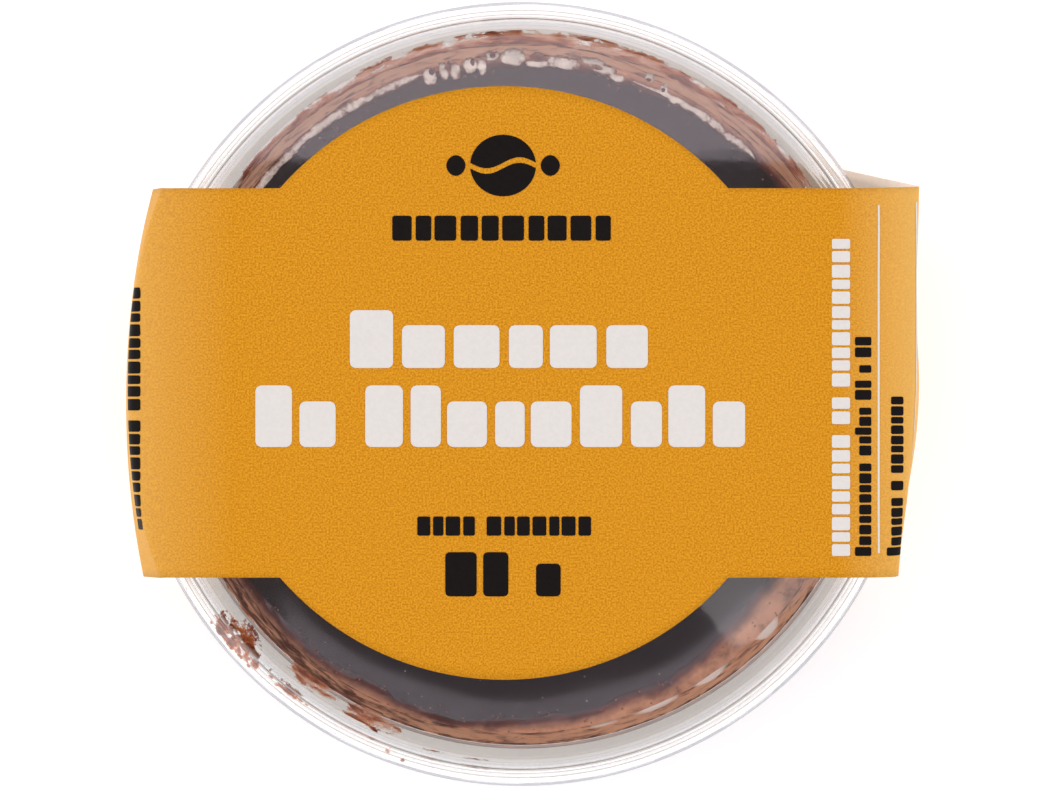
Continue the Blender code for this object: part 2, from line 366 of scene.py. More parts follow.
def pot_outer_line(pot):
    """The pot's outside, from under its rim down to the middle of its base."""
    foot = TUB_LOW.z
    wall = pot.wall
    return rounded([
        (pot.mouth_radius + wall, TUB_HIGH.z - 0.9 * MM, 0),
        (pot.shoulder_top_radius + wall, foot + pot.shoulder_top, 1.2 * MM),
        (pot.shoulder_foot_radius + wall, foot + pot.shoulder_foot, 0.6 * MM),
        (pot.heel_radius + wall, foot + 0.6 * MM, 2.6 * MM),
        (pot.foot_radius, foot, 0.3 * MM),
        (pot.recess_radius, foot + pot.recess_depth, 0.5 * MM),
        (0.0, foot + pot.recess_depth, 0),
    ])


def pot_inner_line(pot):
    """The pot's inside, from the middle of its floor up to the mouth."""
    return offset(pot_outer_line(pot), -pot.wall)[::-1]


def wall_radius(pot, z):
    """Inside radius of the pot's wall at a height."""
    line = pot_inner_line(pot)
    for a, b in zip(line, line[1:]):
        if a.x > pot.foot_radius and a.y <= z <= b.y:
            return a.x + (b.x - a.x) * (z - a.y) / max(b.y - a.y, 1e-9)
    return line[-1].x


class MOUSSEPOT_OT_tub(bpy.types.Operator):
    """Clear tapered pot with a rim bead and a stacking shoulder"""
    bl_idname = "mousse_pot.tub"
    bl_label = "Pot"

    def execute(self, context):
        pot = context.scene.mousse_pot
        foot = TUB_LOW.z
        rim = rounded([
            (pot.mouth_radius, TUB_HIGH.z - 0.6 * MM, 0),
            (pot.mouth_radius, TUB_HIGH.z, 0.15 * MM),
            (pot.rim_radius, TUB_HIGH.z, 0.25 * MM),
            (pot.rim_radius, TUB_HIGH.z - 0.7 * MM, 0),
        ])
        profile = divided(pot_inner_line(pot) + rim + pot_outer_line(pot), 2.5 * MM)
        mesh = turned_mesh("clear_pot", profile, pot.steps)
        # The shoulder and its fillet are tinted grey, painted shade, and the fillet and the rim bead glow,
        # painted light; the rest is plain clear plastic.
        ob = new_object("clear_pot", mesh, [
            clear_plastic("clear_pot_plastic", waviness=0.3),
            clear_plastic("clear_pot_shoulder_painted_shade", tint=(0.56, 0.535, 0.50), roughness=0.08, waviness=0.0),
            clear_plastic("clear_pot_fillet_painted_shade_and_glow", tint=(0.80, 0.77, 0.71), roughness=0.08, waviness=0.0, painted_glow=0.20),
            clear_plastic("clear_pot_rim_painted_glow", painted_glow=0.12)])
        shoulder, fillet, bead = 1, 2, 3
        for face in mesh.polygons:
            reach, height = hypot(*face.center[:2]), face.center.z - foot
            if reach < pot.shoulder_top_radius + 0.55 * MM and height > pot.shoulder_foot - 0.3 * MM:
                face.material_index = fillet if reach < pot.shoulder_foot_radius + 0.45 * MM else shoulder
            elif face.center.z > TUB_HIGH.z - 0.65 * MM and reach > pot.mouth_radius - 0.5 * MM:
                face.material_index = bead
        place(ob, "tub")
        return {"FINISHED"}


def lid_top_line(lid):
    """The lid's upper face, from its middle out over the crest and down the skirt to the hem."""
    top_z = LID_HIGH.z
    return rounded([
        (0.0, top_z - lid.panel_depth, 0),
        (lid.panel_radius, top_z - lid.panel_depth, 0.6 * MM),
        (lid.crest_inner, top_z, 0.4 * MM),
        (lid.crest_outer, top_z, 0.4 * MM),
        (lid.skirt_radius, top_z - lid.skirt_depth, 0),
        (LID_HIGH.x, top_z - lid.skirt_depth - 0.1 * MM, 0),
    ])


class MOUSSEPOT_OT_lid(bpy.types.Operator):
    """Clear press-on lid: sunk panel, crest over the rim, and a skirt with pressed snap beads"""
    bl_idname = "mousse_pot.lid"
    bl_label = "Lid"

    def execute(self, context):
        lid, pot = context.scene.mousse_lid, context.scene.mousse_pot
        top_z = LID_HIGH.z
        top = lid_top_line(lid)
        under = offset(top[:-1], -lid.sheet)[::-1]
        hem = [Vector((LID_HIGH.x, top_z - lid.skirt_depth - 0.4 * MM))]
        profile = divided(top + hem + under, 0.5 * MM)
        profile = [p for p in profile if p.x < 1e-6 or p.x > lid.panel_radius - 3 * MM]
        bead_z = top_z - 0.62 * lid.skirt_depth

        def snaps(angle, r, z):
            if r < lid.crest_outer - 0.2 * MM:
                return r, z
            along = (angle / FULL_TURN * lid.snap_count) % 1.0
            window = smooth_step(0.0, 0.06, along) * smooth_step(0.55, 0.49, along)
            height = max(0.0, 1 - ((z - bead_z) / (0.45 * MM)) ** 2)
            return r - lid.snap_depth * window * height, z

        mesh = turned_mesh("clear_lid", profile, pot.steps * 2, snaps)
        # The hem is tinted grey, painted shade, and the crest glows, painted light.
        ob = new_object("clear_lid", mesh, [
            clear_plastic("clear_lid_rim", bend=1.14),
            clear_plastic("clear_lid_panel", tint=(0.99, 0.992, 0.995), coat=0.5, waviness=0.3),
            clear_plastic("clear_lid_hem_painted_shade", tint=(0.62, 0.63, 0.66), bend=1.14),
            clear_plastic("clear_lid_crest_painted_glow", bend=1.14, painted_glow=0.09)])
        panel, hem_edge, crest = 1, 2, 3
        for face in mesh.polygons:
            reach = hypot(*face.center[:2])
            if reach < lid.panel_radius - 0.7 * MM:
                face.material_index = panel
            elif reach > lid.skirt_radius + 0.02 * MM:
                face.material_index = hem_edge
            elif face.center.z > top_z - 1.2 * MM:
                face.material_index = crest
        place(ob, "lid")
        return {"FINISHED"}


# ---------------------------------------------------------------- mousse

def mousse_material(sizes):
    """Dark smooth middle, a warm band, and paler mottled foam at the edge and against the wall, partly the
    mousse's own tones and partly painted light: painted shade darkens the middle under the card and lid, and
    painted backlight brightens the foam edge. The surface also glows, a painted light. The foam begins at a
    radius that wanders, and reaches further in towards the front right."""
    foam_starts, foam_width, reaches_in = 34.0 * MM, 2.4 * MM, 1.8 * MM
    front_right = (cos(radians(30)), -sin(radians(30)))
    mat, tree, shader = new_material("chocolate_surface")
    here = object_place(tree)
    split = tree.nodes.new("ShaderNodeSeparateXYZ")
    tree.links.new(here, split.inputs[0])
    x, y, _ = split.outputs
    square_x, square_y = maths(tree, "MULTIPLY", x, x), maths(tree, "MULTIPLY", y, y)
    radius = maths(tree, "SQRT", maths(tree, "ADD", square_x, square_y))
    wander = maths(tree, "MULTIPLY", maths(tree, "SUBTRACT", noise_at(tree, here, 160.0, 5.0), 0.5), 2.0 * MM)
    broad = maths(tree, "MULTIPLY", maths(tree, "SUBTRACT", noise_at(tree, here, 28.0, 2.0), 0.5), 2.2 * MM)
    toward = maths(tree, "ADD", maths(tree, "MULTIPLY", x, front_right[0]),
                   maths(tree, "MULTIPLY", y, front_right[1]))
    share_toward = maths(tree, "MAXIMUM", maths(tree, "DIVIDE", toward, radius), 0.0)
    lean = maths(tree, "MULTIPLY", maths(tree, "POWER", share_toward, 3.0), reaches_in)
    edge = maths(tree, "ADD", maths(tree, "ADD", radius, wander), maths(tree, "ADD", broad, lean))
    across = maths(tree, "DIVIDE", maths(tree, "SUBTRACT", edge, foam_starts), foam_width)
    # The dark middle is partly painted shade from the card and lid above it, and the pale foam edge is partly
    # painted light from the wall lit from behind; the rest is the mousse's own colour.
    surface = ramp(tree, across,
                   [(0.0, sizes.dark), (0.22, sizes.dark), (0.50, sizes.warm), (0.86, sizes.foam)])
    mottle = ramp(tree, noise_at(tree, here, 420.0, 6.0, 0.62),
                  [(0.32, (0.36, 0.28, 0.26)), (0.47, (0.80, 0.76, 0.74)), (0.62, (1.0, 1.0, 1.0))])
    mixed = add(tree, "ShaderNodeMix", data_type="RGBA", blend_type="MULTIPLY")
    mixed.inputs["Factor"].default_value = 1.0
    tree.links.new(surface, mixed.inputs[6])
    tree.links.new(mottle, mixed.inputs[7])
    wall_tone = ramp(tree, noise_at(tree, here, 230.0, 6.0, 0.6),
                     [(0.30, tuple(c * 0.62 for c in sizes.side)), (0.52, sizes.side),
                      (0.74, tuple(min(1.0, c * 1.7) for c in sizes.side))])
    facing = tree.nodes.new("ShaderNodeSeparateXYZ")
    tree.links.new(tree.nodes.new("ShaderNodeTexCoord").outputs["Normal"], facing.inputs[0])
    below = maths(tree, "LESS_THAN", facing.outputs["Z"], 0.2)
    tone = blend_colours(tree, below, mixed.outputs[2], wall_tone)
    tree.links.new(tone, shader.inputs["Base Color"])
    # The tone also feeds the emission, a painted glow.
    tree.links.new(tone, shader.inputs["Emission Color"])
    wet = ramp(tree, across, [(0.30, 0.11), (0.75, 0.34)])
    tree.links.new(wet, shader.inputs["Roughness"])
    set_inputs(shader, IOR=1.42, Emission_Strength=0.12)
    froth = ramp(tree, across, [(0.35, 0.0), (0.85, 1.0)])
    bump(tree, shader, maths(tree, "MULTIPLY", noise_at(tree, here, 520.0, 4.0), froth), 0.12 * MM, 0.5)
    return mat


def climbing_level(sizes, r, edge_radius):
    """Height of the mousse's surface, which is flat in the middle and climbs at the wall."""
    return sizes.level + sizes.edge_rise * (r / edge_radius) ** 14


class MOUSSEPOT_OT_mousse(bpy.types.Operator):
    """Chocolate mousse up to its level, reaching just into the clear wall so that no gap shows"""
    bl_idname = "mousse_pot.mousse"
    bl_label = "Mousse"

    def execute(self, context):
        pot, sizes = context.scene.mousse_pot, context.scene.mousse_filling
        top = sizes.level + sizes.edge_rise
        side = offset(pot_inner_line(pot), -sizes.into_wall)
        below = [p for p in side if p.y < top - 0.2 * MM]
        edge = Vector((wall_radius(pot, top) + sizes.into_wall, top))
        rings = 110
        radii = [edge.x * (1 - (1 - k / rings) ** 1.6) for k in range(rings)]
        surface = [Vector((r, climbing_level(sizes, r, edge.x))) for r in radii]
        profile = surface + divided([edge] + below[::-1], 1.2 * MM)

        def relief(angle, r, z):
            if z < sizes.level - 0.05 * MM or r > edge.x - 0.3 * MM:
                return r, z
            spot = Vector((r * cos(angle), r * sin(angle), 0))
            slow = noise.noise(spot * 90) * 0.10 * MM
            foam = noise.fractal(spot * 500, 0.9, 2.1, 2) * 0.08 * MM
            foam_here = smooth_step(34.6 * MM, 35.4 * MM, r)
            middle_here = smooth_step(edge.x, edge.x - 3 * MM, r)
            return r, z + slow * middle_here + foam * foam_here

        mesh = turned_mesh("chocolate_mousse", profile, 360, relief)
        ob = new_object("chocolate_mousse", mesh, [mousse_material(sizes)])
        place(ob, "mousse")
        return {"FINISHED"}


# ---------------------------------------------------------------- deposits on the wall and under the lid

def stretch_between(line, low, high):
    """The part of a (radius, z) line that lies between two places along it, given as nearest points."""
    def nearest(spot):
        return min(range(len(line)), key=lambda i: (line[i] - Vector(spot)).length)
    return line[nearest(low):nearest(high) + 1]


def spot_mask(spots):
    """A mask that is 1 in the middle of each spot and falls to 0 at its edge. A spot is (angle in degrees,
    radius, half width in degrees, half depth, strength)."""
    def mask(angle, r):
        best = -1.0
        for a, radius, wide, deep, strength in spots:
            off = (angle - radians(a) + pi) % FULL_TURN - pi
            best = max(best, strength * (1 - (off / radians(wide)) ** 2 - ((r - radius) / deep) ** 2))
        return best
    return mask


def ragged(mask, scale, amount, threshold, stretch=1.0):
    """The mask with its edge and inside broken up by noise, stretched round the pot."""
    def broken(angle, r):
        value = mask(angle, r)
        if value <= 0:
            return value
        spot = Vector((angle * WALL_MEAN_RADIUS / stretch, r, r * 0.3)) * scale
        return min(1.0, value + amount * noise.fractal(spot, 0.6, 2.1, 5) - threshold)
    return broken


def wall_sheet(name, line, start, end, spacing, mask, thickness, mat, back=None):
    """A thin deposit on a turned surface, between two angles in degrees. It is kept where mask(angle, radius)
    is above 0, and stands off the line by the mask times the thickness. Its UV map runs round and up in metres,
    and its attribute thick holds the mask. Its outer face may have a material of its own, back."""
    clearance = 0.03 * MM
    line = divided(line, spacing)
    raised = offset(line, 1.0)
    steps = int(radians(end - start) * line[-1].x / spacing)
    bm = bmesh.new()
    thick = bm.verts.layers.float.new("thick")
    uv = bm.loops.layers.uv.new("UVMap")
    grid, places = [], {}
    for i in range(steps + 1):
        angle = radians(between(start, end, i / steps))
        column = []
        climbed = 0.0
        for j, p in enumerate(line):
            value = mask(angle, p.x)
            q = p + (raised[j] - p) * (clearance + thickness * max(0.0, value))
            vert = bm.verts.new((q.x * cos(angle), q.x * sin(angle), q.y))
            vert[thick] = max(0.0, value)
            places[vert] = (angle * WALL_MEAN_RADIUS, climbed)
            climbed += (line[min(j + 1, len(line) - 1)] - p).length
            column.append((vert, value))
        grid.append(column)
    for a, b in zip(grid, grid[1:]):
        for j in range(len(line) - 1):
            corners = (a[j], a[j + 1], b[j + 1], b[j])
            if all(value > 0 for _, value in corners):
                face = bm.faces.new([vert for vert, _ in corners])
                for loop in face.loops:
                    loop[uv].uv = places[loop.vert]
    bmesh.ops.delete(bm, geom=[v for v in bm.verts if not v.link_faces], context="VERTS")
    if end - start == 360:
        bmesh.ops.remove_doubles(bm, verts=bm.verts, dist=1e-6)
    mesh = bpy.data.meshes.new(name)
    bm.to_mesh(mesh)
    bm.free()
    ob = new_object(name, mesh, [mat, back or mat])
    solid = ob.modifiers.new("Body", "SOLIDIFY")
    solid.thickness = 0.02 * MM
    solid.offset = -1.0
    solid.material_offset = 1
    return plain_mesh(ob)


def deposit_material(name, tones, roughness, glow, scale, stretch, feather, contrast=1.0):
    """A deposit whose colour follows its thickness, through tones for thin, middling and full, broken up by
    streaks that run round the pot. Its glow is painted light, which stands for the light that a thin layer lets
    through from behind. It fades out where its thickness is below feather."""
    mat, tree, shader = new_material(name)
    thick = add(tree, "ShaderNodeAttribute", attribute_name="thick").outputs["Fac"]
    where = add(tree, "ShaderNodeMapping", inputs={"Scale": (stretch, 1.0, 1.0)})
    tree.links.new(add(tree, "ShaderNodeUVMap", uv_map="UVMap").outputs[0], where.inputs["Vector"])
    streaks = maths(tree, "SUBTRACT", noise_at(tree, where.outputs[0], scale, 7.0, 0.68, 0.5), 0.5)
    mixed = maths(tree, "ADD", maths(tree, "MULTIPLY", thick, 0.6),
                  maths(tree, "MULTIPLY", streaks, 2.6 * contrast))
    tone = ramp(tree, mixed, list(zip((0.12, 0.50, 0.90), tones)))
    tree.links.new(tone, shader.inputs["Base Color"])
    tree.links.new(tone, shader.inputs["Emission Color"])
    set_inputs(shader, Roughness=roughness, Emission_Strength=glow)
    cover = maths(tree, "ADD", thick, maths(tree, "MULTIPLY", streaks, 1.8))
    tree.links.new(ramp(tree, cover, [(0.0, 0.0), (feather, 1.0)]), shader.inputs["Alpha"])
    bump(tree, shader, streaks, 0.10 * MM, 0.6)
    return mat


class MOUSSEPOT_OT_foam(bpy.types.Operator):
    """Film of foam on the tapered wall, a thin dark brown line in the groove above it, foam left on the
    shoulder, and painted highlights low on the front right
    """
    bl_idname = "mousse_pot.foam"
    bl_label = "Foam on the wall"

    def execute(self, context):
        pot, sizes = context.scene.mousse_pot, context.scene.mousse_filling
        inner = divided(pot_inner_line(pot), 0.1 * MM)
        shoulder_z = TUB_LOW.z + pot.shoulder_foot
        self.make_film(pot, sizes, inner, shoulder_z)
        self.make_groove_line(sizes, inner, shoulder_z)
        self.make_painted_highlights(sizes, inner, shoulder_z)
        self.make_crust(pot, sizes, inner, shoulder_z)
        return {"FINISHED"}

    def make_film(self, pot, sizes, inner, shoulder_z):
        """Foam all round the wall, thinner at the front left and ragged along both edges."""
        wall = stretch_between(inner, (pot.heel_radius + 5 * MM, sizes.level),
                               (pot.shoulder_foot_radius, shoulder_z))
        low, high = wall[0].x, wall[-1].x

        def film(angle, r):
            swell = noise.noise(Vector((angle * 2.3, 0.0, 4.1))) * 0.10
            fringe = noise.fractal(Vector((angle * 26, r * 300, 0)), 0.8, 2.1, 4) * 0.16
            upper = (0.99 + swell * 0.3 - (r - low) / (high - low)) * 5 + fringe + 0.25
            lower = (r - low) / (0.75 * MM) + fringe * 1.5 + 0.25
            degrees = angle * 180 / pi
            thinner = smooth_step(190, 212, degrees) * smooth_step(258, 236, degrees)
            return min(1.0 - 0.6 * thinner, upper, lower)

        tones = sizes.warm, sizes.foam, tuple(1.25 * c for c in sizes.foam)
        mat = deposit_material("foam_film", tones, 0.3, 0.22, 800.0, 0.45, feather=0.5, contrast=1.2)
        back = plain_material("foam_back", sizes.film_back, 0.4, 500.0)
        ob = wall_sheet("foam_film", wall, 0, 360, 0.27 * MM, film, 0.06 * MM, mat, back)
        place(ob)

    def make_groove_line(self, sizes, inner, shoulder_z):
        """A thin dark brown line in the groove below the shoulder."""
        groove = stretch_between(inner, (36.36 * MM, shoulder_z - 0.9 * MM),
                                 (36.64 * MM, shoulder_z - 0.3 * MM))

        def groove_line(angle, _):
            return min(1.0, 0.8 + noise.fractal(Vector((angle * 9, 0.3, 0)), 0.8, 2.1, 4) * 0.8)

        tones = sizes.streak, sizes.groove_line, sizes.warm
        mat = deposit_material("groove_dark_line", tones, 0.3, 0.1, 900.0, 0.2, feather=0.6)
        place(wall_sheet("groove_dark_line", groove, 0, 360, 0.14 * MM, groove_line, 0.05 * MM, mat))

    def make_painted_highlights(self, sizes, inner, shoulder_z):
        """Pale brushed patches low on the front right of the wall, painted highlights that stand for light
        reflected off the wet wall.
        """
        highlight_line = stretch_between(inner, (35.5 * MM, sizes.level), (36.4 * MM, shoulder_z))
        highlight_spots = spot_mask([(-43.7, 36.1 * MM, 3.8, 0.75 * MM, 0.95), (-56.0, 35.95 * MM, 4.4, 0.7 * MM, 0.9),
                            (-66.5, 36.0 * MM, 6.0, 0.60 * MM, 0.75), (-76.0, 36.1 * MM, 5.0, 0.4 * MM, 0.55)])
        mat = deposit_material("wall_painted_highlight", (sizes.wall_highlight,) * 3, 0.25, 0.3, 3600.0, 0.03, feather=0.9)
        place(wall_sheet("wall_painted_highlights", highlight_line, -83, -38, 0.12 * MM, highlight_spots, 0.10 * MM, mat))

    def make_crust(self, pot, sizes, inner, shoulder_z):
        """Foam dried on the shoulder, most of it at the back."""
        ledge = stretch_between(inner, (pot.shoulder_foot_radius, shoulder_z),
                                (pot.shoulder_top_radius, shoulder_z + 2.4 * MM))
        spots = [(88, 36.8 * MM, 50, 1.45 * MM, 1.35), (118, 36.8 * MM, 42, 0.85 * MM, 1.1),
                 (60, 36.8 * MM, 30, 1.2 * MM, 1.2), (234, 37.3 * MM, 5.5, 1.0 * MM, 0.9),
                 (245, 37.7 * MM, 5.5, 1.0 * MM, 1.1), (208, 36.9 * MM, 24, 0.2 * MM, 0.8)]
        tones = sizes.crust_thin, sizes.crust, sizes.crust_thick
        mat = deposit_material("shoulder_foam", tones, 0.4, 0.2, 700.0, 0.30, feather=0.8, contrast=1.5)
        ob = wall_sheet("shoulder_foam", ledge, 20, 260, 0.10 * MM,
                        ragged(spot_mask(spots), 1500, 0.9, 0.10, 3.5), 0.10 * MM, mat)
        place(ob)


class MOUSSEPOT_OT_wet_edge(bpy.types.Operator):
    """Pale wet drips, drops and ridges where the mousse meets the wall; the pale tone is painted highlight"""
    bl_idname = "mousse_pot.wet_edge"
    bl_label = "Wet edge"

    def execute(self, context):
        pot, sizes = context.scene.mousse_pot, context.scene.mousse_filling
        top = sizes.level + sizes.edge_rise
        edge_radius = wall_radius(pot, top)
        inner = [p for p in divided(pot_inner_line(pot), 0.12 * MM) if p.x > pot.foot_radius]
        radii = [r * MM for r in (34.0, 34.3, 34.6, 34.9, 35.2, 35.45)]
        line = [Vector((r, climbing_level(sizes, r, edge_radius))) for r in radii]
        line += [p for p in inner if top < p.y < top + 3.2 * MM]
        self.make_drops(sizes, line)
        self.make_hollows(sizes, line)
        return {"FINISHED"}

    def make_drops(self, sizes, line):
        """Separate drops at the back, and a broken ridge on each side of them, all pale with painted
        highlights.
        """
        drops = [(106.2, 34.95 * MM, 1.3, 1.05 * MM, 1.4), (103.6, 35.2 * MM, 0.9, 1.10 * MM, 1.3),
                 (101.6, 34.9 * MM, 1.0, 1.05 * MM, 1.4), (98.9, 35.25 * MM, 1.3, 0.95 * MM, 1.5),
                 (96.9, 34.9 * MM, 0.9, 0.9 * MM, 1.2), (94.9, 35.85 * MM, 1.3, 0.6 * MM, 1.1),
                 (91.5, 35.65 * MM, 2.4, 0.95 * MM, 1.8), (87.2, 35.0 * MM, 2.2, 0.45 * MM, 1.5),
                 (84.9, 35.4 * MM, 0.7, 0.7 * MM, 1.1), (82.4, 35.3 * MM, 2.9, 0.65 * MM, 1.6),
                 (78.0, 36.0 * MM, 2.6, 0.4 * MM, 1.1), (75.8, 35.45 * MM, 2.6, 0.6 * MM, 1.2),
                 (73.2, 35.0 * MM, 1.7, 0.45 * MM, 1.2), (68.0, 36.1 * MM, 1.1, 0.4 * MM, 1.1),
                 (65.0, 35.75 * MM, 0.9, 0.5 * MM, 1.1)]
        dots = spot_mask(drops)
        ridges = ((106, 152, 35.35 * MM, 0.60 * MM), (44, 73, 35.15 * MM, 0.62 * MM))

        def wet(angle, r):
            best = dots(angle, r)
            degrees = angle * 180 / pi
            for start, end, centre, width in ridges:
                if start < degrees < end:
                    ends = smooth_step(start, start + 5, degrees) * smooth_step(end, end - 14, degrees)
                    wave = noise.fractal(Vector((angle * 16, 1.7, start)), 0.8, 2.1, 3)
                    wide = width * ends * (0.80 + 0.45 * noise.noise(Vector((angle * 12, start, 0))))
                    if wide > 0.05 * MM:
                        best = max(best, 1 - ((r - centre - wave * 0.16 * MM) / wide) ** 2)
            fray = noise.fractal(Vector((angle * 50, r * 1400, 0)), 0.7, 2.1, 3) * 0.60
            return min(1.0, best + fray) if best > -0.3 else best

        # The pale tones are painted highlights, standing for light reflected off the wet drops and ridges.
        tones = tuple(0.6 * c for c in sizes.streak), tuple(0.6 * c for c in sizes.wet_highlight), sizes.wet_highlight
        mat = deposit_material("wet_edge", tones, 0.10, 0.35, 380.0, 0.8, feather=0.06, contrast=0.5)
        ob = wall_sheet("wet_edge", line, 40, 154, 0.09 * MM, wet, 0.26 * MM, mat)
        place(ob)

    def make_hollows(self, sizes, line):
        """Dark hollows between the drops, a little above the line that they lie on."""
        hollows = spot_mask([(105.6, 35.4 * MM, 0.55, 0.45 * MM, 1.0), (102.4, 35.5 * MM, 0.4, 0.6 * MM, 1.0),
                             (98.4, 35.5 * MM, 0.45, 0.45 * MM, 1.0), (94.9, 35.9 * MM, 0.7, 0.25 * MM, 1.0),
                             (87.2, 35.65 * MM, 1.35, 0.55 * MM, 1.3), (77.0, 35.45 * MM, 1.2, 0.3 * MM, 1.0),
                             (68.0, 35.9 * MM, 0.6, 0.25 * MM, 0.9), (65.0, 35.5 * MM, 0.45, 0.3 * MM, 0.9)])
        tones = sizes.streak, sizes.warm, sizes.dark
        mat = deposit_material("wet_hollow", tones, 0.08, 0.1, 500.0, 0.8, feather=0.3)
        above = [p + Vector((-0.12, 0.28)) * MM for p in line]
        ob = wall_sheet("wet_hollows", above, 60, 110, 0.09 * MM, hollows, 0.15 * MM, mat)
        place(ob)


class MOUSSEPOT_OT_smears(bpy.types.Operator):
    """Dried smears caught between the lid and the rim"""
    bl_idname = "mousse_pot.smears"
    bl_label = "Smears"

    def execute(self, context):
        lid, sizes = context.scene.mousse_lid, context.scene.mousse_filling
        under = offset(lid_top_line(lid), -(lid.sheet + 0.10 * MM))
        line = stretch_between(divided(under, 0.1 * MM), (lid.panel_radius - 1.6 * MM, under[0].y),
                               (lid.skirt_radius, LID_HIGH.z - 2.5 * MM))[::-1]
        spots = [(220.5, 39.2 * MM, 4.8, 2.2 * MM, 0.95), (222.2, 38.5 * MM, 1.7, 1.0 * MM, 1.6),
                 (224.6, 39.6 * MM, 1.6, 0.7 * MM, 1.0), (231.0, 39.2 * MM, 5.5, 0.45 * MM, 0.75),
                 (230.0, 40.40 * MM, 14, 0.35 * MM, 0.75), (246.5, 38.2 * MM, 2.4, 0.35 * MM, 0.8),
                 (249.5, 39.5 * MM, 0.6, 0.4 * MM, 0.9), (252.0, 39.9 * MM, 0.4, 0.35 * MM, 0.8),
                 (256.0, 38.45 * MM, 2.6, 0.16 * MM, 0.8), (263.0, 38.5 * MM, 2.4, 0.15 * MM, 0.8)]
        tones = sizes.smear_thin, sizes.smear, sizes.smear_thick
        mat = deposit_material("lid_smear", tones, 0.6, 0.13, 900.0, 0.8, feather=0.8)
        ob = wall_sheet("lid_smears", line, 212, 268, 0.07 * MM,
                        ragged(spot_mask(spots), 2000, 1.2, 0.20, 1.6), 0.05 * MM, mat)
        place(ob)
        return {"FINISHED"}


# ---------------------------------------------------------------- scattered bits

def scatter_tree(name):
    """Nodes that scatter small flattened balls over a surface. Its inputs are named sizes and a seed."""
    tree = bpy.data.node_groups.new(name, "GeometryNodeTree")
    face = tree.interface
    face.new_socket("Geometry", in_out="INPUT", socket_type="NodeSocketGeometry")
    for label, kind, default in (("Density", "NodeSocketFloat", 1e4), ("Smallest", "NodeSocketFloat", 1e-4),
                                 ("Largest", "NodeSocketFloat", 2e-4), ("Flatness", "NodeSocketFloat", 0.5),
                                 ("Seed", "NodeSocketInt", 1), ("Material", "NodeSocketMaterial", None)):
        socket = face.new_socket(label, in_out="INPUT", socket_type=kind)
        if default is not None:
            socket.default_value = default
    face.new_socket("Geometry", in_out="OUTPUT", socket_type="NodeSocketGeometry")
    given, result = tree.nodes.new("NodeGroupInput"), tree.nodes.new("NodeGroupOutput")
    points = tree.nodes.new("GeometryNodeDistributePointsOnFaces")
    ball = add(tree, "GeometryNodeMeshIcoSphere", inputs={"Radius": 1.0, "Subdivisions": 2})
    size = add(tree, "FunctionNodeRandomValue", data_type="FLOAT")
    shape = tree.nodes.new("ShaderNodeCombineXYZ")
    flat = add(tree, "ShaderNodeMath", operation="MULTIPLY")
    instance = tree.nodes.new("GeometryNodeInstanceOnPoints")
    realize = tree.nodes.new("GeometryNodeRealizeInstances")
    paint = tree.nodes.new("GeometryNodeSetMaterial")
    floats = [socket for socket in size.inputs if socket.type == "VALUE"]
    for source, target in (
        (given.outputs["Geometry"], points.inputs["Mesh"]),
        (given.outputs["Density"], points.inputs["Density"]),
        (given.outputs["Seed"], points.inputs["Seed"]),
        (given.outputs["Smallest"], floats[0]),
        (given.outputs["Largest"], floats[1]),
        (given.outputs["Seed"], size.inputs["Seed"]),
        (size.outputs[1], shape.inputs["X"]),
        (size.outputs[1], shape.inputs["Y"]),
        (size.outputs[1], flat.inputs[0]),
        (given.outputs["Flatness"], flat.inputs[1]),
        (flat.outputs[0], shape.inputs["Z"]),
        (points.outputs["Points"], instance.inputs["Points"]),
        (points.outputs["Rotation"], instance.inputs["Rotation"]),
        (ball.outputs["Mesh"], instance.inputs["Instance"]),
        (shape.outputs[0], instance.inputs["Scale"]),
        (instance.outputs[0], realize.inputs[0]),
        (realize.outputs[0], paint.inputs["Geometry"]),
        (given.outputs["Material"], paint.inputs["Material"]),
        (paint.outputs[0], result.inputs[0]),
    ):
        tree.links.new(source, target)
    return tree


def scattered(name, surface, mat, **settings):
    """Small balls scattered over the faces of a mesh, as one plain mesh."""
    tree = bpy.data.node_groups.get("Scatter") or scatter_tree("Scatter")
    ob = bpy.data.objects.new(name, surface)
    bpy.context.scene.collection.objects.link(ob)
    nodes = ob.modifiers.new("Scatter", "NODES")
    nodes.node_group = tree
    settings["Material"] = mat
    for item in tree.interface.items_tree:
        if item.in_out == "INPUT" and item.name in settings:
            nodes[item.identifier] = settings[item.name]
    plain_mesh(ob)
    ob.data.shade_smooth()
    return ob


def part_of_mesh(source, keep):
    """A copy of a mesh with only the faces whose centre passes keep."""
    bm = bmesh.new()
    bm.from_mesh(source)
    doomed = [f for f in bm.faces if not keep(f.calc_center_median())]
    bmesh.ops.delete(bm, geom=doomed, context="FACES")
    mesh = bpy.data.meshes.new("scatter_base")
    bm.to_mesh(mesh)
    bm.free()
    return mesh


def plain_material(name, tone, roughness, scale=900.0):
    """A tone that varies a little from place to place."""
    mat, tree, shader = new_material(name)
    paler = tuple(min(1.0, 1.35 * c) for c in tone)
    mottle = noise_at(tree, object_place(tree), scale, 3.0)
    tree.links.new(ramp(tree, mottle, [(0.35, tone), (0.65, paler)]), shader.inputs["Base Color"])
    set_inputs(shader, Roughness=roughness)
    return mat


